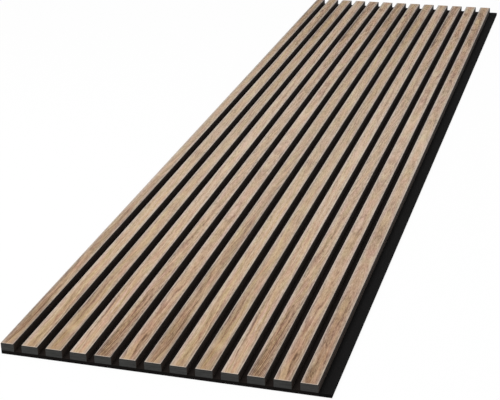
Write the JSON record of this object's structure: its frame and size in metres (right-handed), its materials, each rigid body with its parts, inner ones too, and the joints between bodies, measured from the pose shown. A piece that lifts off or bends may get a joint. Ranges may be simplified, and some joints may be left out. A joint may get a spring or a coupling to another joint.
{
  "type": "acoustic slat wall panel",
  "caption": "Flat wall panel of parallel wood-faced slats stapled to a dark felt board, with open gaps that take up sound and a bare felt strip along one long edge.",
  "frame": {"origin": "middle of the felt's back, on the surface that the panel lies on or is fixed to", "axes": "+Z out of the wood faces, +Y along the slats, +X across them towards the bare felt strip"},
  "size_m": [0.6, 2.4, 0.022],
  "materials": {
    "felt": "matt pressed polyester felt, near black",
    "core_board": "dark dyed fibre board, matt, sawn ends",
    "wood_facing": "pale greyed oak facing, matt, with paler eased edges",
    "staple_wire": "bright galvanised wire"
  },
  "bodies": {
    "root": {"felt_backing": "felt", "slat_core_01": "core_board", "slat_core_02": "core_board", "slat_core_03": "core_board", "slat_core_04": "core_board", "slat_core_05": "core_board", "slat_core_06": "core_board", "slat_core_07": "core_board", "slat_core_08": "core_board", "slat_core_09": "core_board", "slat_core_10": "core_board", "slat_core_11": "core_board", "slat_core_12": "core_board", "slat_core_13": "core_board", "slat_facing_01": "wood_facing", "slat_facing_02": "wood_facing", "slat_facing_03": "wood_facing", "slat_facing_04": "wood_facing", "slat_facing_05": "wood_facing", "slat_facing_06": "wood_facing", "slat_facing_07": "wood_facing", "slat_facing_08": "wood_facing", "slat_facing_09": "wood_facing", "slat_facing_10": "wood_facing", "slat_facing_11": "wood_facing", "slat_facing_12": "wood_facing", "slat_facing_13": "wood_facing", "back_staples": "staple_wire"}
  },
  "joints": []
}
